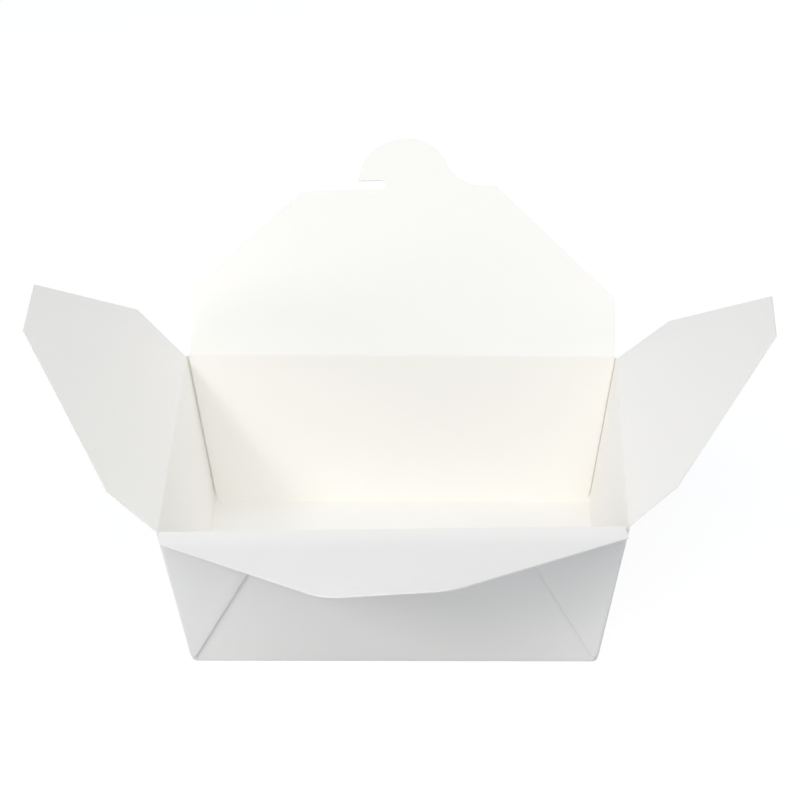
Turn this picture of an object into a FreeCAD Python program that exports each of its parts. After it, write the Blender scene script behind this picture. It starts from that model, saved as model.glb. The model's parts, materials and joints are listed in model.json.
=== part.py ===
"""Folded paperboard takeaway box: a gusseted tray with four closing flaps.

Millimetres, +Z up. The origin is the centre of the base's underside. +X runs along the
long side and +Y points to the back wall, whose flap carries the closing tab.

The tray is one folded piece of board. At each corner a triangular web of board joins a
long wall to an end wall. It is folded in half and glued flat to the outside of the long
wall, so the end wall's board wraps round the corner. Each wall ends at its rim in the
crease of a flap, and each flap is a separate solid that turns about the middle of that
crease.
"""
import FreeCAD, Part
import math
import os

from FreeCAD import Placement, Rotation, Vector

# ---- Driving dimensions -------------------------------------------------------------

# Board
board = 0.45                # thickness of the paperboard
crease_radius = 0.25        # inside radius of the creases round the base

# Tray, measured crease to crease on the middle of the board
base_length = 152.0         # along X
base_width = 119.0          # along Y
wall_height = 61.2          # upright, from the base to the rims of the end walls
wall_flare = 9.4            # how far a wall leans out over wall_height

# Corner webs
web_reach = 57.0            # from the base corner along the folded edge to its tip
web_rim_gap = 1.0           # from the web's free edge up to the rim, at the corner
web_foot = 2.0              # height over the base crease at which the folded layers start
left_seam_width = 0.8       # slot inside a left corner, between the long wall's folded
right_seam_width = 0.4      # edge and the end wall, and the same at a right corner
seam_rise = 1.6             # solid board left between the base crease and that slot

# Hinges
hinge_gap = 0.1             # between a rounded rim and the flap that starts beyond it
stack_gap = 0.15            # between closed flaps, and between a closed flap and a rim
flap_side_inset = 0.7       # from the end of a rim crease to the side of its flap

# Back flap, with the closing tab
back_depth = 72.0           # from the crease to the free edge
back_shoulder_depth = 25.5  # length of the side edges before the corners are cut off
back_shoulder_taper = 0.8   # how much each side edge closes in over that length
back_tip_width = 78.5       # length of the free edge
back_tilt = 42.0            # degrees above level at rest

tab_radius = 18.3           # round head of the tab
tab_rise = 3.2              # centre of the head beyond the free edge
tab_offset = 2.0            # centre of the head to the right of the flap's middle
notch_height = 4.2          # hook notch between the head and the free edge
notch_depth = 11.2          # from the side of the head to the notch's round end
root_radius = 15.8          # hollow curve from the head to the free edge, on the right

# Front flap, with the slit for the tab
front_depth = 72.0
front_shoulder_depth = 6.5
front_shoulder_taper = 0.3
front_tip_width = 46.0
front_tip_radius = 17.0     # rounding of the two corners of the free edge
front_tilt = 11.5

slit_length = 38.0          # straight across its ends
slit_radius = 45.0          # the slit is an arc that bows towards the free edge
slit_width = 0.25
slit_margin = 7.0           # from the middle of the slit to the free edge

# Side flaps
side_depth = 78.0
side_shoulder_depth = 27.0
side_shoulder_taper = 0.5
side_tip_width = 35.0
left_tilt = 48.0
right_tilt = 43.5

# ---- Derived values -----------------------------------------------------------------

half_board = board / 2
layer_pitch = board + stack_gap
web_thickness = 2 * board
lean = math.atan2(wall_flare, wall_height)
lean_degrees = math.degrees(lean)
wall_slope = wall_height / math.cos(lean)
corner_angle = math.atan2(wall_flare, wall_slope)
fold_angle = math.pi / 4 - 2 * corner_angle

reach_out = 20.0            # how far cutting tools run past what they cut
overlap = 0.1               # how far cutting tools start inside open space
tiny = 1e-4                 # lengths that differ by less are the same

UP = Vector(0, 0, 1)
ALONG = Vector(1, 0, 0)


class Wall:
    """One wall: a flat panel that leans outwards and faces the given heading.

    In its own frame X runs along the wall (to the right, seen from outside), Y runs up
    the slope from the base crease, and Z is the outward normal. Z = 0 is the middle of
    the board.
    """

    def __init__(self, heading, distance, half_length, rim_step):
        self.heading = heading              # degrees from +X, counter-clockwise
        self.distance = distance            # base crease from the origin
        self.half_length = half_length      # half of the base crease
        self.rim_step = rim_step            # rim above the rims of the end walls

    @property
    def outward(self):
        turn = Rotation(UP, self.heading)
        return turn.multVec(ALONG)

    @property
    def frame(self):
        turn = Rotation(UP, self.heading + 90) * Rotation(ALONG, 90 + lean_degrees)
        return Placement(self.outward * self.distance + UP * half_board, turn)

    @property
    def slope_to_rim(self):
        return wall_slope + self.rim_step / math.cos(lean)

    @property
    def rim(self):
        """Middle of the rim crease, which is the hinge axis of the flap."""
        return self.frame.multVec(Vector(0, self.slope_to_rim, 0))

    @property
    def rim_half_length(self):
        """Half of the rim crease, to the middle of the neighbouring walls' board."""
        return self.half_length + self.slope_to_rim * math.tan(corner_angle)

    def flap_frame(self, tilt):
        """Frame of a flap: X along the crease, Y across the flap, Z its outside face."""
        turn = Rotation(UP, self.heading + 90) * Rotation(ALONG, 180 - tilt)
        return Placement(self.rim, turn)


right_wall = Wall(0, base_length / 2, base_width / 2, 0.0)
back_wall = Wall(90, base_width / 2, base_length / 2, 2 * layer_pitch)
left_wall = Wall(180, base_length / 2, base_width / 2, 0.0)
front_wall = Wall(270, base_width / 2, base_length / 2, layer_pitch)
walls = [right_wall, back_wall, left_wall, front_wall]

# Each corner: the long wall that its web is glued to, the end of that wall (+1 is the right
# end, seen from outside), the end wall that wraps round it and the width of the seam inside.
corners = [
    (front_wall, -1, left_wall, left_seam_width),
    (front_wall, 1, right_wall, right_seam_width),
    (back_wall, 1, left_wall, left_seam_width),
    (back_wall, -1, right_wall, right_seam_width),
]


# ---- Shapes -------------------------------------------------------------------------

def placed(shape, placement):
    """A copy of the shape, moved from a local frame into the part's frame."""
    moved = shape.copy()
    moved.Placement = placement.multiply(moved.Placement)
    return moved


def block(x, y, z):
    """A box from (low, high) pairs."""
    size = [high - low for low, high in (x, y, z)]
    return Part.makeBox(*size, Vector(x[0], y[0], z[0]))


def plate(outline, low, high):
    """A flat plate between two heights, from a closed outline of edges at height 0."""
    face = Part.Face(Part.Wire(outline))
    face.translate(Vector(0, 0, low))
    return face.extrude(Vector(0, 0, high - low))


def polygon(points):
    """Edges of a closed polygon through (x, y) points."""
    corner_points = [Vector(x, y, 0) for x, y in points]
    return Part.makePolygon(corner_points + corner_points[:1]).Edges


def half_round(start, end, side, radius):
    """Half a cylinder along start to end, on the side that the vector side points to."""
    run = end - start
    across = run.cross(side).normalize() * radius
    crown = side.normalize() * radius
    arc = Part.Arc(start + across, start + crown, start - across).toShape()
    flat = Part.LineSegment(start - across, start + across).toShape()
    return Part.Face(Part.Wire([arc, flat])).extrude(run)


def frustum(offset, low, high):
    """The solid inside the walls' middle planes moved out by offset, from low to high."""
    def half_sizes(z):
        grow = (z - half_board) * math.tan(lean) + offset / math.cos(lean)
        return base_length / 2 + grow, base_width / 2 + grow

    x, y = half_sizes(low)
    top_x, top_y = half_sizes(high)
    wedge = Part.makeWedge(-x, low, -y, -top_y, -top_x, x, high, y, top_y, top_x)
    wedge.rotate(Vector(0, 0, 0), ALONG, 90)
    return wedge


def round_floor(solid, radius):
    """Round the four edges round the lowest face."""
    floor_z = solid.BoundBox.ZMin
    edges = [edge for edge in solid.Edges if edge.BoundBox.ZMax < floor_z + overlap]
    return solid.makeFillet(radius, edges)


# ---- Tray ---------------------------------------------------------------------------

def folded_shell():
    """Base and four walls, each wall cut off square at the middle of its rim crease."""
    top = back_wall.rim.z + reach_out
    outer = round_floor(frustum(half_board, 0.0, top), crease_radius + board)
    inner = round_floor(frustum(-half_board, board, top + overlap), crease_radius)
    shell = outer.cut(inner)
    for wall in walls:
        side = wall.rim_half_length + reach_out
        above = block((-side, side),
                      (wall.slope_to_rim, wall.slope_to_rim + 2 * reach_out),
                      (-half_board - overlap, reach_out))
        shell = shell.cut(placed(above, wall.frame))
    return shell


def rim_bead(wall):
    """The rounded board at the crease between a wall and its flap."""
    side = wall.rim_half_length - board
    y = wall.slope_to_rim
    bead = half_round(Vector(-side, y, 0), Vector(side, y, 0), Vector(0, 1, 0), half_board)
    return placed(bead, wall.frame)


def web(wall, end, wrapping):
    """Two layers of web, folded flat on the outside of a wall beside its corner."""
    fold = Vector(-end * math.sin(fold_angle), math.cos(fold_angle), 0)
    from_corner = Vector(-end * math.cos(fold_angle), -math.sin(fold_angle), 0)
    apex = Vector(end * wall.half_length, 0, 0)
    foot = apex + fold * (web_foot / fold.y)
    tip = apex + fold * web_reach
    rim_corner = Vector(end * wall.rim_half_length, wall.slope_to_rim - web_rim_gap, 0)
    rim_side = rim_corner + (rim_corner - tip).normalize() * reach_out
    foot_side = foot + Vector(end * reach_out, 0, 0)

    low = half_board
    high = half_board + web_thickness
    points = [(p.x, p.y) for p in (foot, tip, rim_side, foot_side)]
    layers = placed(plate(polygon(points), low, high), wall.frame).cut(past(wrapping))
    layers = round_wrap(layers, wall, high, wrapping)
    level = Vector(0, 0, (low + high) / 2)
    folded_edge = half_round(foot + level, tip + level, from_corner, board)
    return layers.fuse(placed(folded_edge, wall.frame))


def past(wall):
    """Everything outside a wall, for some way out."""
    span = base_length + base_width
    return placed(block((-span, span), (-span, span), (half_board, span)), wall.frame)


def height_over(wall, point):
    """How far a point lies outside the middle of a wall's board."""
    return wall.frame.inverse().multVec(point).z


def round_wrap(layers, wall, high, wrapping):
    """Round the edge where the end wall's board turns the corner onto the web."""
    def is_wrap(edge):
        return all(abs(height_over(wall, v.Point) - high) < tiny
                   and abs(height_over(wrapping, v.Point) - half_board) < tiny
                   for v in edge.Vertexes)

    edges = [edge for edge in layers.Edges if is_wrap(edge)]
    return layers.makeFillet(crease_radius + board, edges)


def corner_seam(wall, wrapping, width):
    """The slot inside a corner, beside the folded edge where a wall turns into its web."""
    span = base_length + base_width
    rise = (seam_rise, wall_slope + reach_out)
    beside = block((-span, span), rise, (-half_board - width, -half_board))
    through = block((-span, span), rise, (-half_board - overlap, half_board))
    return placed(beside, wrapping.frame).common(placed(through, wall.frame))


def make_tray():
    tray = folded_shell()
    additions = [rim_bead(wall) for wall in walls]
    additions += [web(wall, end, wrapping) for wall, end, wrapping, _ in corners]
    tray = tray.fuse(additions)
    for wall, _, wrapping, width in corners:
        tray = tray.cut(corner_seam(wall, wrapping, width))
    return tray.removeSplitter()


# ---- Flaps --------------------------------------------------------------------------

def line(start, end):
    return Part.LineSegment(Vector(*start, 0), Vector(*end, 0)).toShape()


def arc(centre, radius, start_degrees, end_degrees):
    """An arc that runs from one angle to the other, either way round."""
    def point(degrees):
        angle = math.radians(degrees)
        return Vector(centre[0] + radius * math.cos(angle),
                      centre[1] + radius * math.sin(angle), 0)

    middle = (start_degrees + end_degrees) / 2
    return Part.Arc(point(start_degrees), point(middle), point(end_degrees)).toShape()


def flap_points(wall, depth, shoulder_depth, taper, tip_width):
    """Outline of a flap with cut corners, from its left hinge corner to its right one."""
    root = half_board + hinge_gap
    side = wall.rim_half_length - flap_side_inset
    shoulder = side - taper
    tip = tip_width / 2
    return [(-side, root), (-shoulder, shoulder_depth), (-tip, depth),
            (tip, depth), (shoulder, shoulder_depth), (side, root)]


def plain_flap(wall, tilt, *sizes):
    flap = plate(polygon(flap_points(wall, *sizes)), -half_board, half_board)
    return placed(flap, wall.flap_frame(tilt))


def tab_outline(left_corner, right_corner):
    """Edges over the free edge, left to right: notch, round head and hollow root."""
    depth = left_corner[1]
    # The back flap's own X axis runs towards -X, so the tab's offset changes sign.
    centre = (-tab_offset, depth + tab_rise)
    root_centre_y = depth + root_radius
    root_run = math.sqrt((tab_radius + root_radius) ** 2 - (root_centre_y - centre[1]) ** 2)
    root_centre = (centre[0] - root_run, root_centre_y)
    head_end = math.degrees(math.atan2(root_centre[1] - centre[1], -root_run))
    root_start = head_end - 180

    notch_top = depth + notch_height
    head_start = math.degrees(math.asin((notch_top - centre[1]) / tab_radius))
    head_side = centre[0] + tab_radius * math.cos(math.radians(head_start))
    notch_end = head_side - notch_depth + notch_height / 2
    notch_middle = (notch_end, depth + notch_height / 2)
    return [
        line(left_corner, (root_centre[0], depth)),
        arc(root_centre, root_radius, -90, root_start),
        arc(centre, tab_radius, head_end, head_start),
        line((head_side, notch_top), (notch_end, notch_top)),
        arc(notch_middle, notch_height / 2, 90, 270),
        line((notch_end, depth), right_corner),
    ]


def make_back_flap():
    sizes = (back_depth, back_shoulder_depth, back_shoulder_taper, back_tip_width)
    points = flap_points(back_wall, *sizes)
    edges = [line(start, end) for start, end in zip(points, points[1:] + points[:1])]
    edges[2:3] = tab_outline(points[2], points[3])
    flap = plate(edges, -half_board, half_board)
    return placed(flap, back_wall.flap_frame(back_tilt))


def slit():
    """The curved slit, in the front flap's own frame."""
    outer = slit_radius + slit_width / 2
    inner = slit_radius - slit_width / 2
    spread = math.degrees(math.asin(slit_length / 2 / slit_radius))
    centre = (tab_offset, front_depth - slit_margin - slit_radius)
    ends = (90 + spread, 90 - spread)
    far = arc(centre, outer, *ends)
    near = arc(centre, inner, *reversed(ends))
    sides = [Part.makeLine(far.lastVertex().Point, near.firstVertex().Point),
             Part.makeLine(near.lastVertex().Point, far.firstVertex().Point)]
    return plate([far, sides[0], near, sides[1]], -board, board)


def round_corners(flap, corners, radius):
    """Round some corners of a flap's outline, in the flap's own frame."""
    def is_corner(edge):
        start, end = [(vertex.X, vertex.Y) for vertex in edge.Vertexes]
        return math.dist(start, end) < tiny and any(
            math.dist(start, corner) < tiny for corner in corners)

    return flap.makeFillet(radius, [edge for edge in flap.Edges if is_corner(edge)])


def make_front_flap():
    sizes = (front_depth, front_shoulder_depth, front_shoulder_taper, front_tip_width)
    points = flap_points(front_wall, *sizes)
    flap = plate(polygon(points), -half_board, half_board)
    flap = round_corners(flap, points[2:4], front_tip_radius).cut(slit())
    return placed(flap, front_wall.flap_frame(front_tilt))


def make_side_flap(wall, tilt):
    sizes = (side_depth, side_shoulder_depth, side_shoulder_taper, side_tip_width)
    return plain_flap(wall, tilt, *sizes)


# ---- Output -------------------------------------------------------------------------

nodes = {
    "tray": make_tray(),
    "back_flap": make_back_flap(),
    "front_flap": make_front_flap(),
    "left_flap": make_side_flap(left_wall, left_tilt),
    "right_flap": make_side_flap(right_wall, right_tilt),
}

os.makedirs("parts", exist_ok=True)
for name, shape in nodes.items():
    shape.exportStep("parts/" + name + ".step")
    box = shape.BoundBox
    print(name, len(shape.Solids), "solid", shape.isValid(), round(shape.Volume, 2),
          [round(value, 2) for value in (box.XMin, box.XMax, box.YMin, box.YMax,
                                         box.ZMin, box.ZMax)])
for name, wall in (("back", back_wall), ("front", front_wall),
                   ("left", left_wall), ("right", right_wall)):
    print(name, "hinge at", [round(value, 3) for value in wall.rim])
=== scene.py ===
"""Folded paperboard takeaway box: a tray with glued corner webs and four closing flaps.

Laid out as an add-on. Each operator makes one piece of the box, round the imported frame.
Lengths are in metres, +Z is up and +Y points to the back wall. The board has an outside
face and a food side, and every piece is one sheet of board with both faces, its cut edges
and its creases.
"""

import json
import math

import bmesh
import bpy
from bpy.props import FloatProperty, FloatVectorProperty, PointerProperty
from mathutils import Matrix, Vector
from mathutils.geometry import delaunay_2d_cdt


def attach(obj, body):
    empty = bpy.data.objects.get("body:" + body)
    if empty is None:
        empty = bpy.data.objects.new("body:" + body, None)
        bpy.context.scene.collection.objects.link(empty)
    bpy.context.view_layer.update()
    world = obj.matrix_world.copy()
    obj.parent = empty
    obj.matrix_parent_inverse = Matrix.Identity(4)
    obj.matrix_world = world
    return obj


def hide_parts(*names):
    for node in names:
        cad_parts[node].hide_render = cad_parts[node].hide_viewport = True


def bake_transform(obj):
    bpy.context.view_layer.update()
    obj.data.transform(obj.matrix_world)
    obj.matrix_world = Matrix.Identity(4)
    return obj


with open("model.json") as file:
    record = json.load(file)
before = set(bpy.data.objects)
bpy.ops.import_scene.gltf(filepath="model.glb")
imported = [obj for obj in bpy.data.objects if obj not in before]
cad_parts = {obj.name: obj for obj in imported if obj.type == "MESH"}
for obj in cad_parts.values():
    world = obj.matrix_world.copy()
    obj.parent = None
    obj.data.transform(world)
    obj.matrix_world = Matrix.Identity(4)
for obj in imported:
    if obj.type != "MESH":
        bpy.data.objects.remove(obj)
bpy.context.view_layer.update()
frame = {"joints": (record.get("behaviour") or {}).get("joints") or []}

bl_info = {
    "name": "Takeaway box",
    "version": (1, 0, 0),
    "blender": (4, 5, 0),
    "location": "View3D > Sidebar > Takeaway Box",
    "description": "Makes a folded paperboard takeaway box with four closing flaps",
    "category": "Add Mesh",
}

MM = 0.001
UP = Vector((0, 0, 1))
HINGES = {joint["child"]: joint for joint in frame["joints"]}


# ---- Properties ----

def length(name, description, millimetres):
    return FloatProperty(name=name, description=description, default=millimetres * MM,
                         subtype="DISTANCE", unit="LENGTH", precision=5)


def angle(name, description, degrees):
    return FloatProperty(name=name, description=description,
                         default=math.radians(degrees), subtype="ANGLE", unit="ROTATION")


def colour(name, description, value):
    return FloatVectorProperty(name=name, description=description, default=value,
                               subtype="COLOR", size=3, min=0, max=1)


def amount(name, description, value):
    return FloatProperty(name=name, description=description, default=value)


class BoardProperties(bpy.types.PropertyGroup):
    thickness: length("Thickness", "Thickness of the board", 0.45)
    crease_radius: length("Crease radius", "Inside radius of the creases round the base", 0.25)
    crease_reach: length("Crease reach", "Board bent on each side of a flap's crease", 0.6)
    crease_skirt: length("Crease skirt", "Board of a flap's piece below its crease", 0.9)
    layer_gap: length("Layer gap", "Air and glue between the layers of a web", 0.03)
    outside_colour: colour("Outside", "White clay coat of the outside", (0.95, 0.945, 0.94))
    food_colour: colour("Food side", "Thin clear coat over the board's fibres",
                        (0.975, 0.953, 0.912))
    edge_colour: colour("Cut edge", "Uncoated core at the cut edges", (0.93, 0.92, 0.89))
    roughness: amount("Roughness", "Roughness of the coated faces", 0.55)


class TrayProperties(bpy.types.PropertyGroup):
    base_length: length("Base length", "Crease to crease along X", 152)
    base_width: length("Base width", "Crease to crease along Y", 119)
    corner_radius: length("Blunt corner", "Rounding of the crushed corners of the base", 1.9)
    wrap_radius: length("Wrap radius", "Middle of the board where a wall turns a corner", 1.0)
    apex_rise: length("Apex rise", "Height over which the layers of a web open out", 3.5)
    web_reach: length("Web reach", "From the base corner along the web's folded edge", 57)
    web_rim_gap: length("Web rim gap", "From the rim down to a web's cut edge, at the corner", 1)
    left_seam: length("Left seams", "Slot inside the two left corners", 0.6)
    right_seam: length("Right seams", "Slot inside the two right corners", 0.3)


class BackFlapProperties(bpy.types.PropertyGroup):
    depth: length("Depth", "Crease to free edge", 72)
    shoulder: length("Shoulder", "Side edge before the corner is cut off", 25.5)
    taper: length("Taper", "How much each side edge closes in", 0.8)
    tip_width: length("Tip width", "Length of the free edge", 78.5)
    tilt: angle("Tilt", "Above level at rest", 42)
    tab_radius: length("Tab radius", "Round head of the closing tab", 18.6)
    tab_rise: length("Tab rise", "Centre of the head beyond the free edge", 3.5)
    tab_offset: length("Tab offset", "Centre of the head right of the middle", 2.1)
    notch_height: length("Notch height", "Hook notch below the head", 3.9)
    notch_depth: length("Notch depth", "Side of the head to the notch's round end", 11.2)
    root_radius: length("Root radius", "Hollow curve from head to free edge", 17)


class FrontFlapProperties(bpy.types.PropertyGroup):
    depth: length("Depth", "Crease to free edge", 72)
    shoulder: length("Shoulder", "Side edge before the corner is cut off", 6.5)
    taper: length("Taper", "How much each side edge closes in", 0.3)
    tip_width: length("Tip width", "Length of the free edge", 46)
    tip_radius: length("Tip radius", "Rounding of the corners of the free edge", 17)
    tilt: angle("Tilt", "Above level at rest", 11.5)
    slit_length: length("Slit length", "Straight across the ends of the slit", 38)
    slit_radius: length("Slit radius", "The slit is an arc", 45)
    slit_width: length("Slit width", "Width of the cut", 0.25)
    slit_margin: length("Slit margin", "Middle of the slit to the free edge", 7)


class SideFlapProperties(bpy.types.PropertyGroup):
    depth: length("Depth", "Crease to free edge", 78)
    shoulder: length("Shoulder", "Side edge before the corner is cut off", 27)
    taper: length("Taper", "How much each side edge closes in", 0.5)
    tip_width: length("Tip width", "Length of the free edge", 35)
    left_tilt: angle("Left tilt", "Above level at rest", 48)
    right_tilt: angle("Right tilt", "Above level at rest", 43.5)


class StageProperties(bpy.types.PropertyGroup):
    floor_colour: colour("Floor", "What the floor shows of light and shadow", (0.25, 0.25, 0.25))
    floor_bounce: colour("Floor bounce", "Pale floor, as it lights the box", (0.56, 0.56, 0.56))
    distance: length("Distance", "Camera to the middle of the box", 1382.6)
    elevation: angle("Elevation", "Camera above level", 28.5)
    turn: angle("Turn", "Camera to the right of the front", -1.7)
    roll: angle("Roll", "Camera about its own axis", -0.9)
    lens: FloatProperty(name="Lens", description="Focal length", default=160.64,
                        subtype="DISTANCE_CAMERA", unit="CAMERA")
    aim_height: length("Aim height", "Height of the point that the camera turns about", 30.8)
    move_right: length("Move right", "Camera sideways, without turning", 0.8)
    move_up: length("Move up", "Camera upwards, without turning", 42.8)
    floor_glow: amount("Floor glow", "Plain white added to how the floor looks", 0.83)
    sky: colour("Sky", "Soft light from above, full straight overhead", (0.58, 0.63, 0.73))
    top_front: amount("Top front lamp", "Power of the wide lamp above the front, in watts", 7.4)
    top_right: amount("Top right lamp", "Power of the lamp above the right, in watts", 4.2)
    key: amount("Key lamp", "Power of the small lamp at the front left, in watts", 4.9)
    low_left: amount("Low left lamp", "Power of the low lamp at the left, in watts", 4.9)
    low_right: amount("Low right lamp", "Power of the low lamp at the right, in watts", 3.4)


class BoxProperties(bpy.types.PropertyGroup):
    board: PointerProperty(type=BoardProperties)
    tray: PointerProperty(type=TrayProperties)
    back_flap: PointerProperty(type=BackFlapProperties)
    front_flap: PointerProperty(type=FrontFlapProperties)
    side_flap: PointerProperty(type=SideFlapProperties)
    stage: PointerProperty(type=StageProperties)


# ---- Small maths ----

def mix(low, high, share):
    return low + (high - low) * share


def share_of(value, low, high):
    """How far a value has come from low to high, kept from 0 to 1."""
    return min(max((value - low) / (high - low), 0.0), 1.0)


def smooth(share):
    """0 to 1 with level ends."""
    share = share_of(share, 0, 1)
    return share * share * (3 - 2 * share)


def spread(low, high, steps):
    """steps + 1 even values, ends included."""
    return [mix(low, high, i / steps) for i in range(steps + 1)]


def pairs(ring):
    """Each item of a ring with the one that follows it."""
    return list(zip(ring, ring[1:] + ring[:1]))


# ---- Sheets of board ----

FOOD_SIDE, CUT_EDGE = 1, 2  # places of their materials in a piece's list
MELT = 0.002 * MM           # points nearer than this are one
SHARP = math.radians(35)    # edges that turn more than this are drawn sharp


class Sheet:
    """A sheet of board: paired points on its two faces, joined by cells and cut edges."""

    def __init__(self):
        self.outside = []
        self.food_side = []
        self.cells = []

    def add(self, outside, food_side):
        """One point on each face. Returns the pair's number."""
        self.outside.append(outside)
        self.food_side.append(food_side)
        return len(self.outside) - 1

    def cut_edges(self):
        """Edges that only one cell uses, in the direction in which that cell runs."""
        single = {}
        for cell in self.cells:
            for start, end in pairs(cell):
                if (end, start) in single:
                    del single[(end, start)]
                else:
                    single[(start, end)] = True
        return list(single)

    def build(self, name, settle):
        """A mesh object of the sheet. settle moves a point to where the real one lies."""
        mesh = bpy.data.meshes.new(name)
        work = bmesh.new()
        outside = [work.verts.new(settle(point)) for point in self.outside]
        food_side = [work.verts.new(settle(point)) for point in self.food_side]
        for cell in self.cells:
            work.faces.new([outside[i] for i in cell])
            face = work.faces.new([food_side[i] for i in reversed(cell)])
            face.material_index = FOOD_SIDE
        for start, end in self.cut_edges():
            face = work.faces.new([outside[end], outside[start],
                                   food_side[start], food_side[end]])
            face.material_index = CUT_EDGE
        bmesh.ops.remove_doubles(work, verts=work.verts, dist=MELT)
        bmesh.ops.dissolve_degenerate(work, edges=work.edges, dist=MELT)
        for face in work.faces:
            face.smooth = True
        for edge in work.edges:
            edge.smooth = edge.is_manifold and edge.calc_face_angle(0) < SHARP
        work.to_mesh(mesh)
        work.free()
        piece = bpy.data.objects.new(name, mesh)
        bpy.context.scene.collection.objects.link(piece)
        board = bpy.context.scene.takeaway_box.board
        for made in (
                material("outside_coat", coated_face, board.outside_colour, board.roughness),
                material("food_side_coat", coated_face, board.food_colour, board.roughness),
                material("board_cut_edge", cut_edge, board.edge_colour)):
            mesh.materials.append(made)
        return piece


# ---- Walls and creases ----

BLEND_REACH = 0.55 * MM  # half of the strip that turns between wall and flap


class Wall:
    """A leaning wall and the crease along its rim, which is its flap's hinge axis."""

    def __init__(self, flap, outward, base_distance, board):
        self.outward = Vector(outward)
        self.along = UP.cross(self.outward)
        self.rim = Vector(HINGES[flap]["pos_m"])
        self.rise = self.rim.z - board.thickness / 2
        self.lean = math.atan2(self.rim.dot(self.outward) - base_distance, self.rise)

    def distance(self, z):
        """Middle of the board from the origin, at a height."""
        return self.rim.dot(self.outward) - (self.rim.z - z) * math.tan(self.lean)


def make_walls(box):
    """The four walls, by the names of their sides."""
    length, width = box.tray.base_length, box.tray.base_width
    sides = {"right": ((1, 0, 0), length), "back": ((0, 1, 0), width),
             "left": ((-1, 0, 0), length), "front": ((0, -1, 0), width)}
    return {side: Wall(side + "_flap", outward, span / 2, box.board)
            for side, (outward, span) in sides.items()}


def heading(slope):
    """Unit vector (outward, up) at a slope above level."""
    return Vector((math.cos(slope), math.sin(slope)))


def facing(slope):
    """Unit vector (outward, up) out of the outside face of board at a slope."""
    return heading(slope - math.pi / 2)


class Crease:
    """The board round a rim crease: wall below, a small round bend, flap beyond."""

    def __init__(self, wall, tilt, board):
        self.wall, self.tilt = wall, tilt
        self.wall_slope = math.pi / 2 - wall.lean
        self.reach, self.skirt = board.crease_reach, board.crease_skirt
        self.radius = self.reach / math.tan((self.wall_slope - tilt) / 2)

    def point(self, u, v, n):
        """Place of a point of the flat flap: along the crease, across it, out of the face."""
        if v <= -self.skirt:    # the skirt's lower edge is cut level
            place = heading(self.wall_slope) * v + Vector((n / math.cos(self.wall.lean), 0))
        elif v <= -self.reach:
            place = heading(self.wall_slope) * v + facing(self.wall_slope) * n
        elif v >= self.reach:
            place = heading(self.tilt) * v + facing(self.tilt) * n
        else:
            slope = mix(self.wall_slope, self.tilt, (v + self.reach) / (2 * self.reach))
            centre = (heading(self.wall_slope) * -self.reach
                      + facing(self.wall_slope) * self.radius)
            place = centre + facing(slope) * (n - self.radius)
        wall = self.wall
        return wall.rim + wall.along * u + wall.outward * place.x + UP * place.y

    def zone(self):
        """Start and end points of the bend round the crease."""
        middle = heading((self.wall_slope + self.tilt) / 2) * BLEND_REACH
        across = self.wall.outward * middle.x + UP * middle.y
        return self.wall.rim - across, self.wall.rim + across


# ---- Tray ----

FOLD_STEPS = 8         # round of a folded edge
WEB_STEPS = 7          # cells across a layer of a web
WRAP_STEPS = 7         # round of the turned corner
LONG_STEPS = 28        # cells along a long wall
END_STEPS = 22         # cells along an end wall, between the sides of its flap
CREASE_STEPS = 7       # round of the creases between base and walls
TIP_STEPS = 10         # cells up a wall from the close rows to the webs' tips
TOP_STEPS = 8          # cells from there to the rim
FLAP_INSET = 0.7 * MM  # from the end of a rim crease to the side of its flap
STEP = 0.02 * MM       # width of a step in a cut edge
WRAP_RISE = 1.4        # height over which corners take their radius, in apex rises

# Close rows of points where the board changes shape fast, in millimetres: inwards from the
# creases of the base, and up the walls from them.
BASE_ROWS = (7, 4.5, 2.4)
LOW_ROWS = (0.5, 1, 1.6, 2.3, 3.1, 4.2, 5.6, 7.5)

# The end and long wall of each corner, in the order in which a row of points goes round,
# from above, and whether the row comes to the corner along the long wall.
CORNERS = [("right", "front", True), ("right", "back", False),
           ("left", "back", True), ("left", "front", False)]


class PathPoint:
    """A point on the middle of the board where it goes round a corner, seen from above.

    p runs along the long wall towards and past the corner, and q out of the long wall.
    normal points out of the outside face, and outside and food_side are the distances to
    the two faces.
    """

    def __init__(self, p, q, normal=(0, 0), outside=0, food_side=0):
        self.p, self.q = p, q
        self.outside = p + outside * normal[0], q + outside * normal[1]
        self.food_side = p - food_side * normal[0], q - food_side * normal[1]


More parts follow.
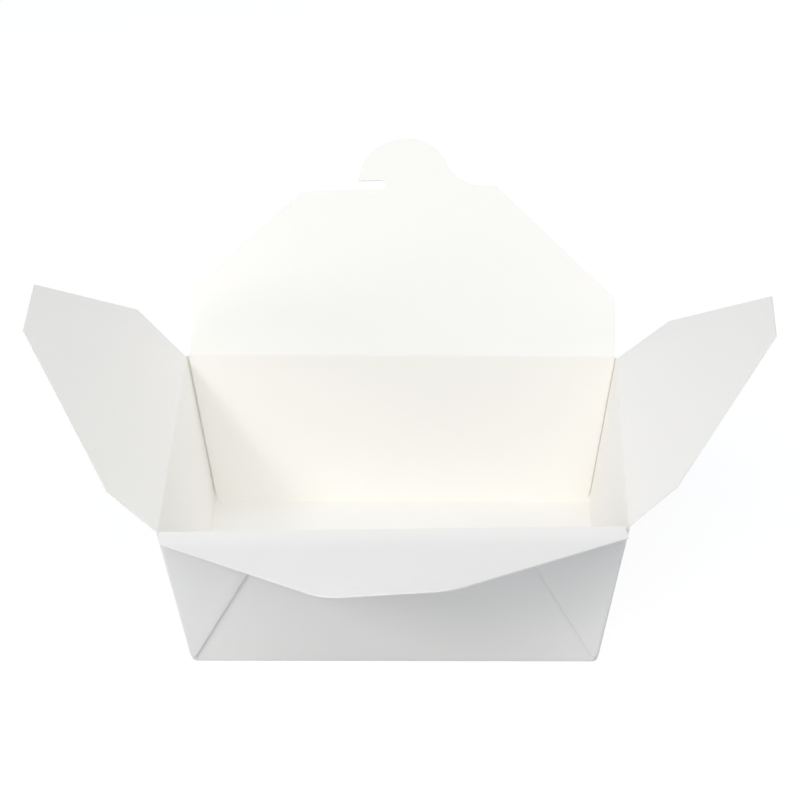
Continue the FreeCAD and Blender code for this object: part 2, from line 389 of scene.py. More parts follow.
class TrayBoard:
    """Where the tray's board lies: one sheet, folded up from the base and round each web.

    The board of a long wall folds back over its own outside face, folds again along the
    web's diagonal and turns the corner to become the end wall.
    """

    def __init__(self, box):
        self.board, self.tray = box.board, box.tray
        self.walls = make_walls(box)
        self.half = self.board.thickness / 2
        end_wall = self.walls["left"]
        self.lean = end_wall.lean
        upright = math.cos(self.lean)
        self.level_half = self.half / upright   # measured level through a wall
        # On a long wall, the corner's edge leans outwards from straight up. Half of the web
        # folds back from that edge, so the web's folded edge leans towards the middle. The
        # level run between the two edges grows with the rise.
        corner = math.atan(math.sin(self.lean))
        fold = math.pi / 4 - 2 * corner
        self.run_per_rise = (math.tan(fold) + math.tan(corner)) / upright
        self.tip_rise = self.tray.web_reach * math.cos(fold) * upright
        self.web_top = end_wall.rise - self.tray.web_rim_gap * upright
        self.skirt_rise = self.board.crease_skirt * upright
        self.profile = self.base_profile()
        self.first_rise = self.profile[-1][1] - self.half
        self.shares, tip = self.wall_shares()
        self.tip_row = len(self.profile) + tip

    def base_profile(self):
        """(inset, height, normal) of the middle of the board: base, then crease."""
        radius = self.board.crease_radius + self.half
        turn = math.pi / 2 - self.lean
        tangent = radius * math.tan(turn / 2)
        profile = [(inset * MM, self.half, (0, -1)) for inset in BASE_ROWS]
        for bend in spread(0, turn, CREASE_STEPS):
            profile.append((tangent - radius * math.sin(bend),
                            self.half + radius * (1 - math.cos(bend)),
                            (-math.sin(bend), -math.cos(bend))))
        return profile

    def wall_shares(self):
        """Shares of the way up at which the rows lie, and the place of the webs' tips."""
        rise = self.web_top - self.first_rise
        tip = (self.tip_rise - self.first_rise) / rise
        shares = [height * MM / rise for height in LOW_ROWS]
        shares += spread(shares[-1], tip, TIP_STEPS)[1:]
        return shares + spread(tip, 1.0, TOP_STEPS)[1:], len(shares) - 1

    def rise(self, top, share):
        """Height over the middle of the base, for a point whose cut edge is at top."""
        return mix(self.first_rise, top, share)

    # Round a corner

    def folded_path(self, rise, seam):
        """The board's path from a long wall through its web to the end wall.

        It turns back at the wall's end, runs as the web's inner layer to the folded edge,
        and comes back as the outer layer. Distances are from the outside of the corner.
        """
        half = self.level_half
        opened = smooth(rise / self.tray.apex_rise)
        pitch = opened * (2 * half + self.board.layer_gap)      # from layer to layer
        bend = pitch / 2                                        # radius of a fold
        wrap = mix(self.tray.corner_radius, self.tray.wrap_radius,
                   smooth(rise / (WRAP_RISE * self.tray.apex_rise)))
        wall_end = max(2 * half + seam * opened + bend, wrap + STEP)
        folded_edge = max(self.run_per_rise * min(rise, self.tip_rise), wall_end + bend)
        above_tip = share_of(rise, self.tip_rise, self.web_top)
        inner_end = mix(folded_edge - bend, wall_end + STEP, above_tip)
        outer_end = mix(folded_edge - bend, wrap + STEP, above_tip)

        path = []

        def add(p, q, normal, outside=half, food_side=half):
            path.append(PathPoint(p, q, normal, outside, food_side))

        for _, s, c, hollow in self.fold_steps(bend):
            add(-wall_end + bend * s, bend - bend * c, (-s, c), outside=hollow)
        for p in spread(-wall_end, -inner_end, WEB_STEPS)[1:-1]:
            add(p, pitch, (0, -1))
        for part, s, c, hollow in self.fold_steps(bend):
            add(-mix(inner_end, outer_end, part) - bend * s, 1.5 * pitch - bend * c,
                (-s, -c), food_side=hollow)
        for p in spread(-outer_end, -wrap, WEB_STEPS)[1:-1]:
            add(p, 2 * pitch, (0, 1))
        for turned in spread(0, math.pi / 2, WRAP_STEPS):
            s, c = math.sin(turned), math.cos(turned)
            add(-wrap + wrap * s, 2 * pitch - wrap + wrap * c, (s, c))
        return path

    def fold_steps(self, bend):
        """Share, sine, cosine and half board towards the hollow, at each step of a fold."""
        for part in spread(0, 1, FOLD_STEPS):
            flat = part in (0, 1)
            yield (part, math.sin(part * math.pi), math.cos(part * math.pi),
                   self.level_half if flat else min(self.level_half, bend))

    def plain_path(self, inset):
        """The same points on the base and its creases, where nothing is folded."""
        radius = max(self.tray.corner_radius - inset, MELT)
        bend = max(self.tray.corner_radius, inset + radius)
        folded = 2 * (FOLD_STEPS + 1) + WEB_STEPS - 1
        path = [PathPoint(-bend - STEP, -inset)] * folded
        path += [PathPoint(p, -inset) for p in spread(-bend - STEP, -bend, WEB_STEPS)[1:-1]]
        for turned in spread(0, math.pi / 2, WRAP_STEPS):
            path.append(PathPoint(-bend + radius * math.sin(turned),
                                  -bend + radius * math.cos(turned)))
        return path

    def tops(self, long_wall, end_wall):
        """Rise of the cut edge at each point of a corner's path."""
        under_flap = long_wall.rise - self.skirt_rise
        beside_flap = end_wall.rise - STEP
        tops = [under_flap] * (FOLD_STEPS + 1)
        tops += [self.web_top] * (WEB_STEPS - 1 + FOLD_STEPS + 1)
        tops += spread(self.web_top, beside_flap, WEB_STEPS)[1:-1]
        return tops + [beside_flap] * (WRAP_STEPS + 1)

    # Rows of points, each a pair on the two faces

    def wall_row(self, share):
        """A row on the walls, at a share of each point's way up to its cut edge."""
        row = []
        for end, long_side, from_long in CORNERS:
            end_wall, long_wall = self.walls[end], self.walls[long_side]
            seam = self.tray.left_seam if end == "left" else self.tray.right_seam
            tops = self.tops(long_wall, end_wall)
            paths = {top: self.folded_path(self.rise(top, share), seam) for top in set(tops)}
            corner = []
            for number, top in enumerate(tops):
                point = paths[top][number]
                z = self.half + self.rise(top, share)
                corner.append([
                    end_wall.outward * (end_wall.distance(z) + p)
                    + long_wall.outward * (long_wall.distance(z) + q) + UP * z
                    for p, q in (point.outside, point.food_side)])
            if from_long:
                past_corner = paths[tops[-1]][-1].q
                row += corner + self.end_run(end_wall, long_wall, share, past_corner)
            else:
                row += corner[::-1] + self.long_run(long_wall, share)
        return row

    def end_run(self, wall, crossing, share, past_corner):
        """Points along an end wall, whose cut edge steps down between its flap's sides."""
        beside, under = wall.rise - STEP, wall.rise - self.skirt_rise
        run = [(-1, STEP, beside), (-1, 0, under)]
        run += [(side, 0, under) for side in spread(-1, 1, END_STEPS)[1:-1]]
        run += [(1, 0, under), (1, STEP, beside)]
        points = []
        for side, extra, top in run:
            z = self.half + self.rise(top, share)
            corner = crossing.distance(z)
            sideways = side * (min(corner - FLAP_INSET, corner + past_corner - 2 * STEP) + extra)
            points.append(self.faces(wall, wall.distance(z), sideways, z))
        return points

    def long_run(self, wall, share):
        """Points along a long wall, between the folds at its two ends."""
        top = wall.rise - self.skirt_rise
        rise = self.rise(top, share)
        z = self.half + rise
        seams = self.tray.left_seam, self.tray.right_seam
        ends = [self.walls["left"].distance(z) + self.folded_path(rise, seam)[0].p
                for seam in seams]
        if wall.along.x < 0:    # the back wall runs from right to left
            ends.reverse()
        return [self.faces(wall, wall.distance(z), sideways, z)
                for sideways in spread(-ends[0], ends[1], LONG_STEPS)[1:-1]]

    def faces(self, wall, distance, sideways, z):
        """The pair of points on a wall's two faces."""
        return [wall.outward * (distance + side * self.level_half)
                + wall.along * sideways + UP * z for side in (1, -1)]

    def plain_row(self, inset, z, normal):
        """A row on the base or its creases."""
        faces = []
        for side in (self.half, -self.half):
            path = self.plain_path(inset + side * normal[0])
            height = UP * (z + side * normal[1])
            corners = []
            for end, long_side, from_long in CORNERS:
                out_end, out_long = self.walls[end].outward, self.walls[long_side].outward
                corner = [out_end * (self.tray.base_length / 2 + point.p)
                          + out_long * (self.tray.base_width / 2 + point.q) + height
                          for point in path]
                corners.append(corner if from_long else corner[::-1])
            row = []
            for (_, _, from_long), (corner, following) in zip(CORNERS, pairs(corners)):
                start, end = corner[-1], following[0]
                row += corner
                if from_long:
                    step = (end - start).normalized() * STEP
                    between = [(start + 2 * step).lerp(end - 2 * step, part)
                               for part in spread(0, 1, END_STEPS)]
                    row += [start + step, *between, end - step]
                else:
                    row += [start.lerp(end, part) for part in spread(0, 1, LONG_STEPS)[1:-1]]
            faces.append(row)
        return list(zip(*faces))

    def sheet(self):
        """The whole tray, whose webs are open along their folds above their tips."""
        sheet = Sheet()
        rows = [self.plain_row(*level) for level in self.profile]
        rows += [self.wall_row(share) for share in self.shares]
        numbers = [[sheet.add(*pair) for pair in row] for row in rows]
        open_cells = self.open_cells()
        for index, (low, high) in enumerate(zip(numbers, numbers[1:])):
            for column, ((a, b), (d, c)) in enumerate(zip(pairs(low), pairs(high))):
                if index < self.tip_row or column not in open_cells:
                    sheet.cells.append([a, b, c, d])
        sheet.cells.append(numbers[0][::-1])
        return sheet

    def open_cells(self):
        """Columns of cells on the webs' folds, which are left out above the tips."""
        corner = 2 * (FOLD_STEPS + WEB_STEPS) + WRAP_STEPS + 1  # points on a corner's path
        first = FOLD_STEPS + WEB_STEPS
        start = 0
        columns = set()
        for _, _, from_long in CORNERS:
            for step in range(first, first + FOLD_STEPS):
                columns.add(start + (step if from_long else corner - 2 - step))
            start += corner + (END_STEPS + 3 if from_long else LONG_STEPS - 1)
        return columns


# ---- Flaps ----

CREASE_ROWS = 8                 # rows of cells round a flap's crease
FLAP_COLUMNS = 44               # cells along a flap's crease
FLAP_GRID = 4 * MM              # spacing of the points of a flap
EDGE_CLEARANCE = FLAP_GRID / 3  # from the grid's points to the cut edges
ARC_STEP = 1.2 * MM             # spacing of the points along a curved cut
ARC_LEAST = 6                   # fewest runs along one
SLIVER = 0.001 * MM * MM        # a cell smaller than this lies along a straight cut
CDT_ROUNDING = 1e-7             # points nearer than this count as one


def arc(centre, radius, start, end):
    """Points of an arc after its first one, between two angles."""
    steps = max(ARC_LEAST, int(abs(end - start) * radius / ARC_STEP))
    return [Vector((centre[0] + radius * math.cos(a), centre[1] + radius * math.sin(a)))
            for a in spread(start, end, steps)[1:]]


def divided(points):
    """The points of an open line, with its long runs divided."""
    result = []
    for start, end in zip(points, points[1:]):
        steps = max(1, round((end - start).length / FLAP_GRID))
        result += [start.lerp(end, part) for part in spread(0, 1, steps)[:-1]]
    return result + points[-1:]


def inside(point, outline):
    """Whether a point lies in a closed outline."""
    found = False
    for a, b in pairs(outline):
        if (a.y > point.y) != (b.y > point.y):
            found ^= point.x < a.x + (point.y - a.y) * (b.x - a.x) / (b.y - a.y)
    return found


def clear_of(point, outline):
    """Whether a point keeps its clearance from every edge of an outline."""
    for a, b in pairs(outline):
        run = b - a
        part = share_of((point - a).dot(run), 0, run.length_squared)
        if (point - a - run * part).length < EDGE_CLEARANCE:
            return False
    return True


class FlapBoard:
    """Where a flap's board lies: its crease, and its outline beyond the crease."""

    def __init__(self, box, wall, crossing, sizes, tilt, pulls):
        self.board = box.board
        self.sizes = sizes
        self.pulls = [[Vector(pull) for pull in pair] for pair in pulls]
        self.crease = Crease(wall, tilt, box.board)
        self.side = crossing.distance(wall.rim.z) - FLAP_INSET

    def left_corners(self):
        """From the left end of the free edge back to the crease."""
        sizes = self.sizes
        return [Vector((-sizes.tip_width / 2, sizes.depth)),
                Vector((sizes.taper - self.side, sizes.shoulder)),
                Vector((-self.side, self.board.crease_reach))]

    def right_corners(self):
        """From the crease to the right end of the free edge."""
        return [Vector((-corner.x, corner.y)) for corner in reversed(self.left_corners())]

    def pull(self, u, v):
        """How far a point of the flat flap is pulled: along, beyond and above it."""
        sizes = self.sizes
        out = share_of(v, sizes.shoulder, sizes.depth)
        half_width = mix(self.side, sizes.tip_width / 2, out)
        right = share_of(u, -half_width, half_width)
        foot, shoulder, tip = [mix(*pair, right) for pair in self.pulls]
        return mix(mix(foot, shoulder, share_of(v, 0, sizes.shoulder)), tip, out) * MM

    def sheet(self, outline, hole):
        """The flap: rows of cells round its crease, then triangles out to the cut line."""
        reach, half = self.board.crease_reach, self.board.thickness / 2
        columns = spread(-self.side, self.side, FLAP_COLUMNS)
        sheet = Sheet()

        def add(u, v):
            pull = self.pull(u, v)
            return sheet.add(*[self.crease.point(u + pull.x, v + pull.y, n - pull.z)
                               for n in (half, -half)])

        rows = [[add(u, v) for u in columns]
                for v in [-self.board.crease_skirt] + spread(-reach, reach, CREASE_ROWS)]
        for low, high in zip(rows, rows[1:]):
            for c in range(FLAP_COLUMNS):
                sheet.cells.append([low[c], low[c + 1], high[c + 1], high[c]])

        foot = [Vector((u, reach)) for u in columns]
        border = foot + divided(outline)[1:-1]
        points = border + hole + self.grid(border, hole)
        cut = list(range(len(border) + len(hole)))
        edges = pairs(cut[:len(border)]) + pairs(cut[len(border):])
        places, _, faces, sources, _, _ = delaunay_2d_cdt(points, edges, [], 0, CDT_ROUNDING)
        numbers = [rows[-1][source[0]] if source and source[0] < len(foot)
                   else add(*place) for place, source in zip(places, sources)]
        for face in faces:
            a, b, c = [places[i] for i in face]
            middle = (a + b + c) / 3
            area = (b - a).cross(c - a) / 2
            if abs(area) > SLIVER and inside(middle, border) and not inside(middle, hole):
                cell = [numbers[i] for i in face]
                sheet.cells.append(cell if area > 0 else cell[::-1])
        return sheet

    def grid(self, border, hole):
        """Points inside a flap, on an even grid that keeps clear of its cut edges."""
        high = max(point.y for point in border)
        rows = spread(self.board.crease_reach, high, round(high / FLAP_GRID))[1:]
        cells = round(2 * self.side / FLAP_GRID)
        points = []
        for row, v in enumerate(rows):
            shift = (row % 2) * FLAP_GRID / 2
            for u in spread(-self.side + shift, self.side + shift, cells):
                point = Vector((u, v))
                if inside(point, border) and clear_of(point, border) and clear_of(point, hole):
                    points.append(point)
        return points


def rounded(before, corner, after, radius):
    """Points that round off a corner of an outline that turns left."""
    into, out = (corner - before).normalized(), (after - corner).normalized()
    turn = into.angle(out)
    start = corner - into * radius * math.tan(turn / 2)
    first = math.atan2(-into.x, into.y)
    centre = start - radius * Vector((math.cos(first), math.sin(first)))
    return [start] + arc(centre, radius, first, first + turn)


def tab_outline(sizes, left, right):
    """Cut line of the closing tab, from the right end of the free edge to the left one."""
    depth = sizes.depth
    # The back flap's own sideways direction runs to -X, so the offset changes sign.
    centre = Vector((-sizes.tab_offset, depth + sizes.tab_rise))
    head, root = sizes.tab_radius, sizes.root_radius
    root_y = depth + root
    root_run = math.sqrt((head + root) ** 2 - (root_y - centre.y) ** 2)
    root_centre = Vector((centre.x - root_run, root_y))
    head_end = math.atan2(root_centre.y - centre.y, -root_run)

    notch_top = depth + sizes.notch_height
    head_start = math.asin((notch_top - centre.y) / head)
    head_side = centre.x + head * math.cos(head_start)
    notch_end = head_side - sizes.notch_depth + sizes.notch_height / 2
    notch_middle = (notch_end, depth + sizes.notch_height / 2)
    points = [right, Vector((notch_end, depth))]
    points += arc(notch_middle, sizes.notch_height / 2, -math.pi / 2, -3 * math.pi / 2)
    points += [Vector((head_side, notch_top))]
    points += arc(centre, head, head_start, head_end)
    points += arc(root_centre, root, head_end - math.pi, -math.pi / 2)
    return points + [left]


def slit_outline(front, tab_offset):
    """Cut line of the curved slit that takes the tab."""
    turn = math.asin(front.slit_length / 2 / front.slit_radius)
    centre = (tab_offset, front.depth - front.slit_margin - front.slit_radius)
    up = math.pi / 2
    far = arc(centre, front.slit_radius + front.slit_width / 2, up - turn, up + turn)
    near = arc(centre, front.slit_radius - front.slit_width / 2, up + turn, up - turn)
    return far + near


# ---- Settling: how the real board departs from the flat sheet ----

# How far each corner of this box lies from its square place, in millimetres along X, Y and
# Z: at the base and at the rim.
CORNER_SHIFTS = {
    ("left", "front"): [(-0.6, 0, 0), (-1.0, 0, 0)],
    ("right", "front"): [(-0.4, -0.6, 0), (1.25, 1.4, 1.5)],
    ("left", "back"): [(0, 0, 0), (-0.5, 0, 0.4)],
    ("right", "back"): [(0, 0, 0), (0.8, -0.6, -0.5)],
}

# How far this box's flaps lie from their flat plan, in millimetres along the crease, beyond
# it and towards the food side. The pairs are the left and right ends of the crease, the left
# and right shoulders, and the left and right tips.
FLAP_PULLS = {
    "back_flap": [[(0, 0, 0), (-1.0, 0, 0)],
                  [(-1.0, -1.1, 0), (0.8, 1.5, 0)],
                  [(1.3, 1.3, 0), (1.3, -1.2, 0)]],
    "front_flap": [[(0, 0, 0), (-1.0, 0, 0)],
                   [(0.5, 3.2, -1.2), (0.3, 3.3, -1.2)],
                   [(0.8, 0.5, 0), (-1.0, 0.5, 2.2)]],
    "left_flap": [[(0, 0, 0), (0, 0, 0)],
                  [(-0.5, 1.6, 0.6), (1.3, -1.6, -1.2)],
                  [(0, 0, 0.8), (0.5, -1.0, -0.3)]],
    "right_flap": [[(0, 0, 0), (0, 0, 0)],
                   [(-1.4, -2.7, 0.7), (-1.0, 0.3, -1.2)],
                   [(-1.4, -0.7, 1.0), (-0.5, -0.7, -0.4)]],
}


def settle_on(walls):
    """Moves a point as the corners of the base and of the rim pull it."""
    rim = walls["left"].rim.z
    half_length = walls["right"].distance(rim)
    half_width = walls["back"].distance(rim)
    shifts = {corner: [Vector(shift) for shift in pair]
              for corner, pair in CORNER_SHIFTS.items()}

    def settle(point):
        right = share_of(point.x, -half_length, half_length)
        back = share_of(point.y, -half_width, half_width)
        up = share_of(point.z, 0, rim)
        corners = {corner: mix(*pair, up) for corner, pair in shifts.items()}
        front = mix(corners["left", "front"], corners["right", "front"], right)
        rear = mix(corners["left", "back"], corners["right", "back"], right)
        return point + mix(front, rear, back) * MM

    return settle


# ---- Materials ----

# Patterns in the board, as noise: its scale in waves per metre, detail and roughness.
CLOUDS = (45, 3, 0.5)         # uneven coat
FIBRES = (900, 4, 0.6)        # fibres that show through it
FELT = (260, 2, 0.5)          # marks of the paper machine's felt
TORN_FIBRES = (2600, 3, 0.6)  # along a cut edge

CLOUD_SHARE = 0.7                # of the tone's pattern; the rest is fibres
FELT_SHARE = 0.65                # of the relief; the rest is fibres
FACE_TONES = (0.985, 1)          # darkest and palest, times the face's colour
EDGE_TONES = (0.93, 1.03)        # the same of a cut edge
FACE_RELIEF = (0.35, 0.02 * MM)  # strength and depth of the bumps
EDGE_RELIEF = (0.6, 0.04 * MM)   # the same of a cut edge
ROUGHNESS_SPREAD = 0.12          # from the smoothest to the roughest place of a face


class Wire:
    """An output socket of a shader tree. Arithmetic on it adds Math nodes."""

    def __init__(self, finish, socket):
        self.finish, self.socket = finish, socket

    def maths(self, operation, first, second):
        return self.finish.node("ShaderNodeMath", {"operation": operation},
                                {0: first, 1: second})[0]

    def __add__(self, other):
        return self.maths("ADD", self, other)

    def __mul__(self, other):
        return self.maths("MULTIPLY", self, other)

    __radd__ = __add__
    __rmul__ = __mul__


class Finish:
    """A material or world whose nodes are made by one method."""

    def __init__(self, owner):
        owner.use_nodes = True
        self.tree = owner.node_tree
        self.tree.nodes.clear()

    def node(self, kind, settings, values):
        """Adds a node, its settings first. Returns its outputs by number or name."""
        made = self.tree.nodes.new(kind)
        for name, value in settings.items():
            setattr(made, name, value)
        for name, value in values.items():
            if isinstance(value, Wire):
                self.tree.links.new(value.socket, made.inputs[name])
            else:
                made.inputs[name].default_value = value
        return Outputs(self, made)

    def end(self, kind, shader):
        self.node(kind, {}, {"Surface": shader})


class Outputs:
    """The outputs of a node, as wires."""

    def __init__(self, finish, made):
        self.finish, self.made = finish, made

    def __getitem__(self, name):
        return Wire(self.finish, self.made.outputs[name])


def solid(value):
    """A colour with full alpha."""
    return (*value, 1.0)


def material(name, fill, *values):
    """The material of that name. fill makes its nodes if it is new."""
    made = bpy.data.materials.get(name)
    if made is None:
        made = bpy.data.materials.new(name)
        fill(Finish(made), *values)
    return made


def patterns(finish, *kinds):
    """The wires of some patterns in the board."""
    place = finish.node("ShaderNodeTexCoord", {}, {})["Object"]
    return [finish.node("ShaderNodeTexNoise", {},
                        {"Vector": place, "Scale": scale, "Detail": detail,
                         "Roughness": roughness})[0] for scale, detail, roughness in kinds]


def board_shader(finish, white, tones, share, height, relief, sockets):
    """Ends a finish as board, between two tones of its white and with a fine relief."""
    low, high = [solid(Vector(white) * tone) for tone in tones]
    tone = finish.node("ShaderNodeMix", {"data_type": "RGBA"}, {0: share, 6: low, 7: high})
    strength, depth = relief
    bump = finish.node("ShaderNodeBump", {},
                       {"Strength": strength, "Distance": depth, "Height": height})
    shader = finish.node("ShaderNodeBsdfPrincipled", {},
                         {"Base Color": tone[2], "Normal": bump[0], **sockets})
    finish.end("ShaderNodeOutputMaterial", shader[0])


def coated_face(finish, white, roughness):
    """Coated white board: faint cloudy tone, fine fibres under the coat."""
    clouds, fibres, felt = patterns(finish, CLOUDS, FIBRES, FELT)
    board_shader(finish, white, FACE_TONES,
                 clouds * CLOUD_SHARE + fibres * (1 - CLOUD_SHARE),
                 fibres * (1 - FELT_SHARE) + felt * FELT_SHARE, FACE_RELIEF,
                 {"Roughness": fibres * ROUGHNESS_SPREAD + (roughness - ROUGHNESS_SPREAD / 2),
                  "IOR": 1.45, "Specular IOR Level": 0.35})


def cut_edge(finish, white):
    """The uncoated core at a cut edge: rough, with torn fibres."""
    fibres, = patterns(finish, TORN_FIBRES)
    board_shader(finish, white, EDGE_TONES, fibres, fibres, EDGE_RELIEF,
                 {"Roughness": 0.85, "Specular IOR Level": 0.2})


def seen_directly(finish):
    """1 for what is seen, also by reflection, and 0 for what lights the box."""
    ray = finish.node("ShaderNodeLightPath", {}, {})
    return ray["Is Camera Ray"] + ray["Is Glossy Ray"] + ray["Is Transmission Ray"]


def pale_floor(finish, stage):
    """Pale matt floor that looks nearly white and keeps a soft shadow."""
    bounce = finish.node("ShaderNodeBsdfDiffuse", {}, {"Color": solid(stage.floor_bounce)})
    matt = finish.node("ShaderNodeBsdfDiffuse", {}, {"Color": solid(stage.floor_colour)})
    glow = finish.node("ShaderNodeEmission", {}, {"Color": solid((1, 1, 1)),
                                                  "Strength": stage.floor_glow})
    lifted = finish.node("ShaderNodeAddShader", {}, {0: matt[0], 1: glow[0]})
    whole = finish.node("ShaderNodeMixShader", {},
                        {0: seen_directly(finish), 1: bounce[0], 2: lifted[0]})
    finish.end("ShaderNodeOutputMaterial", whole[0])


# ---- Operators ----

def dress(node):
    """Hides the CAD node that the piece stands for."""
    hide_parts(node)


def make_flap(box, side, crossing, sizes, tilt, free_edge, hole):
    """The flap of one side's wall, which ends at a crossing wall. hole may be empty."""
    node = side + "_flap"
    walls = make_walls(box)
    flap = FlapBoard(box, walls[side], walls[crossing], sizes, tilt, FLAP_PULLS[node])
    outline = flap.right_corners()[:-1] + free_edge(flap) + flap.left_corners()[1:]
    piece = flap.sheet(outline, hole).build("closing_flap_" + side, settle_on(walls))
    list(flap.crease.zone())
    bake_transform(piece)
    dress(node)


def straight_edge(flap):
    """The two ends of a plain free edge."""
    return [flap.right_corners()[-1], flap.left_corners()[0]]


class TAKEAWAY_OT_tray(bpy.types.Operator):
    """Make the tray: base, four leaning walls and four folded webs, all one sheet"""
    bl_idname = "takeaway.tray"
    bl_label = "Folded tray"

    def execute(self, context):
        box = context.scene.takeaway_box
        piece = TrayBoard(box).sheet().build("folded_tray", settle_on(make_walls(box)))
        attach(piece, "tray")
        dress("tray")
        return {"FINISHED"}


class TAKEAWAY_OT_back_flap(bpy.types.Operator):
    """Make the back flap with its hooked closing tab"""
    bl_idname = "takeaway.back_flap"
    bl_label = "Back flap"

    def execute(self, context):
        box = context.scene.takeaway_box
        sizes = box.back_flap

        def free_edge(flap):
            return tab_outline(sizes, flap.left_corners()[0], flap.right_corners()[-1])

        make_flap(box, "back", "right", sizes, sizes.tilt, free_edge, [])
        return {"FINISHED"}


class TAKEAWAY_OT_front_flap(bpy.types.Operator):
    """Make the front flap with the slit for the tab"""
    bl_idname = "takeaway.front_flap"
    bl_label = "Front flap"

    def execute(self, context):
        box = context.scene.takeaway_box
        sizes = box.front_flap
        slit = slit_outline(sizes, box.back_flap.tab_offset)

        def free_edge(flap):
            _, right_shoulder, right_tip = flap.right_corners()[-3:]
            left_tip, left_shoulder, _ = flap.left_corners()
            return (rounded(right_shoulder, right_tip, left_tip, sizes.tip_radius)
                    + rounded(right_tip, left_tip, left_shoulder, sizes.tip_radius))

        make_flap(box, "front", "right", sizes, sizes.tilt, free_edge, slit)
        return {"FINISHED"}


class TAKEAWAY_OT_side_flaps(bpy.types.Operator):
    """Make the two flaps of the end walls"""
    bl_idname = "takeaway.side_flaps"
    bl_label = "Side flaps"

    def execute(self, context):
        box = context.scene.takeaway_box
        sizes = box.side_flap
        for side, tilt in (("left", sizes.left_tilt), ("right", sizes.right_tilt)):
            make_flap(box, side, "front", sizes, tilt, straight_edge, [])
        return {"FINISHED"}


# ---- Stage ----

FLOOR_REACH = 8.0                 # half of the floor's side
FLOOR_CELLS = 12                  # along that side
FLOOR_DROP = 0.05 * MM            # from the box's underside to the floor
SIGHT = (0.05, 100)               # nearest and farthest that the camera sees
LIT_PLACE = Vector((0, 0, 0.05))  # where every lamp points

# The lamps of the studio: place, side of the square and tint. Their power is a property.
LAMPS = {
    "top_front": ((0, -1.0, 1.2), 1.2, (0.98, 1.0, 0.88)),
    "top_right": ((1.2, 0.5, 1.1), 0.8, (1.0, 0.93, 0.9)),
    "key": ((-0.7, -1.1, 0.9), 0.3, (1.0, 0.96, 0.93)),
    "low_left": ((-1.3, -0.7, 0.35), 0.5, (1.0, 0.97, 0.99)),
    "low_right": ((1.4, -0.9, 0.5), 0.7, (1.0, 0.99, 0.95)),
}


def soft_box(name, watts):
    """A square lamp that points at the box."""
    place, side, tint = LAMPS[name]
    lamp = bpy.data.lights.new(name, "AREA")
    lamp.shape, lamp.size = "SQUARE", side
    lamp.energy, lamp.color = watts, tint
    stand = bpy.data.objects.new(name, lamp)
    stand.location = place
    stand.rotation_mode = "QUATERNION"
    stand.rotation_quaternion = (LIT_PLACE - Vector(place)).to_track_quat("-Z", "Y")
    bpy.context.scene.collection.objects.link(stand)


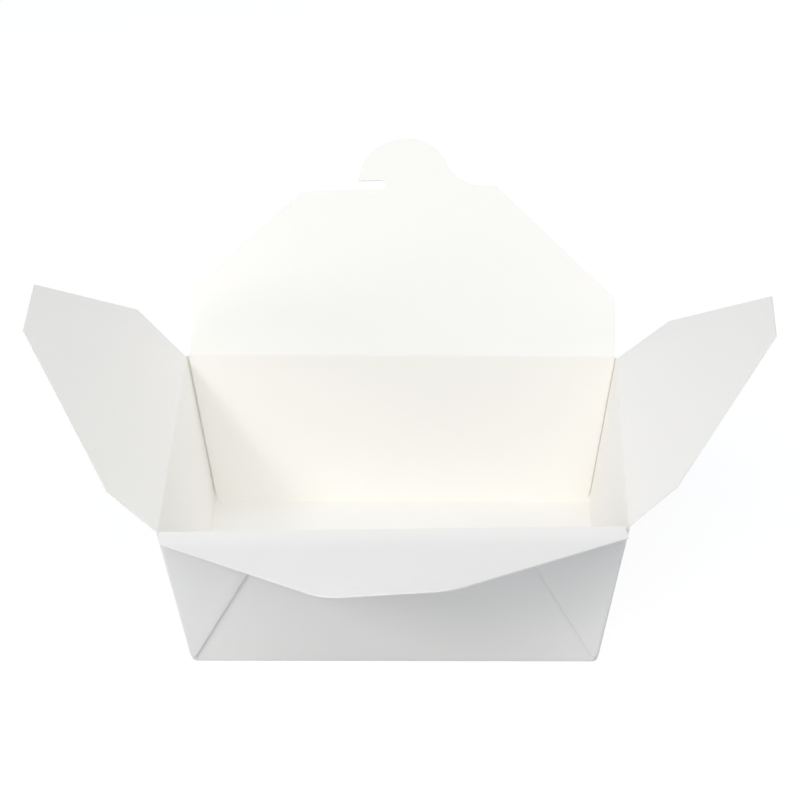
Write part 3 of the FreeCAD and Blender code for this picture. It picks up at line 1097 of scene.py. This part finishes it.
class TAKEAWAY_OT_stage(bpy.types.Operator):
    """Make the floor, the soft studio light and the camera"""
    bl_idname = "takeaway.stage"
    bl_label = "Stage"

    def execute(self, context):
        scene = context.scene
        stage = scene.takeaway_box.stage
        self.floor(scene, stage)
        self.light(scene, stage)
        self.camera(scene, stage)
        return {"FINISHED"}

    def floor(self, scene, stage):
        mesh = bpy.data.meshes.new("floor")
        work = bmesh.new()
        bmesh.ops.create_grid(work, x_segments=FLOOR_CELLS, y_segments=FLOOR_CELLS,
                              size=FLOOR_REACH)
        work.to_mesh(mesh)
        work.free()
        floor = bpy.data.objects.new("floor", mesh)
        floor.location.z = -FLOOR_DROP
        scene.collection.objects.link(floor)
        mesh.materials.append(material("pale_floor", pale_floor, stage))

    def light(self, scene, stage):
        scene.view_settings.view_transform = "Standard"
        world = bpy.data.worlds.new("studio")
        scene.world = world
        finish = Finish(world)
        direction = finish.node("ShaderNodeTexCoord", {}, {})["Generated"]
        height = finish.node("ShaderNodeSeparateXYZ", {}, {0: direction})["Z"]
        above = finish.node("ShaderNodeMath", {"operation": "MAXIMUM"}, {0: height, 1: 0.0})
        sky = finish.node("ShaderNodeBackground", {}, {"Color": solid(stage.sky),
                                                       "Strength": above[0]})
        white = finish.node("ShaderNodeBackground", {}, {"Color": solid((1, 1, 1)),
                                                         "Strength": 1.0})
        seen = finish.node("ShaderNodeMixShader", {},
                           {0: seen_directly(finish), 1: sky[0], 2: white[0]})
        finish.end("ShaderNodeOutputWorld", seen[0])
        for name in LAMPS:
            soft_box(name, getattr(stage, name))

    def camera(self, scene, stage):
        level = Vector((math.sin(stage.turn), math.cos(stage.turn), 0))
        ahead = level * math.cos(stage.elevation) - UP * math.sin(stage.elevation)
        right = level.cross(UP)
        above = right.cross(ahead)
        turned = Matrix.Rotation(-stage.roll, 3, ahead)
        right, above = turned @ right, turned @ above
        lens = bpy.data.cameras.new("camera")
        lens.lens = stage.lens
        lens.clip_start, lens.clip_end = SIGHT
        camera = bpy.data.objects.new("camera", lens)
        place = (stage.aim_height * UP - ahead * stage.distance
                 + right * stage.move_right + above * stage.move_up)
        camera.matrix_world = Matrix.Translation(place) @ Matrix(
            (right, above, -ahead)).transposed().to_4x4()
        scene.collection.objects.link(camera)
        scene.camera = camera


# ---- Add-on ----

class TAKEAWAY_PT_sidebar(bpy.types.Panel):
    """Lists the pieces of the takeaway box"""
    bl_idname = "TAKEAWAY_PT_sidebar"
    bl_label = "Takeaway Box"
    bl_space_type = "VIEW_3D"
    bl_region_type = "UI"
    bl_category = "Takeaway Box"

    def draw(self, context):
        for operator in OPERATORS:
            self.layout.operator(operator.bl_idname)


OPERATORS = [TAKEAWAY_OT_tray, TAKEAWAY_OT_back_flap, TAKEAWAY_OT_front_flap,
             TAKEAWAY_OT_side_flaps, TAKEAWAY_OT_stage]
CLASSES = [BoardProperties, TrayProperties, BackFlapProperties, FrontFlapProperties,
           SideFlapProperties, StageProperties, BoxProperties, *OPERATORS,
           TAKEAWAY_PT_sidebar]


def register():
    for cls in CLASSES:
        bpy.utils.register_class(cls)
    bpy.types.Scene.takeaway_box = PointerProperty(type=BoxProperties)


def unregister():
    del bpy.types.Scene.takeaway_box
    for cls in reversed(CLASSES):
        bpy.utils.unregister_class(cls)


def main():
    register()
    bpy.ops.takeaway.tray()
    bpy.ops.takeaway.back_flap()
    bpy.ops.takeaway.front_flap()
    bpy.ops.takeaway.side_flaps()
    bpy.ops.takeaway.stage()


if __name__ == "__main__":
    main()
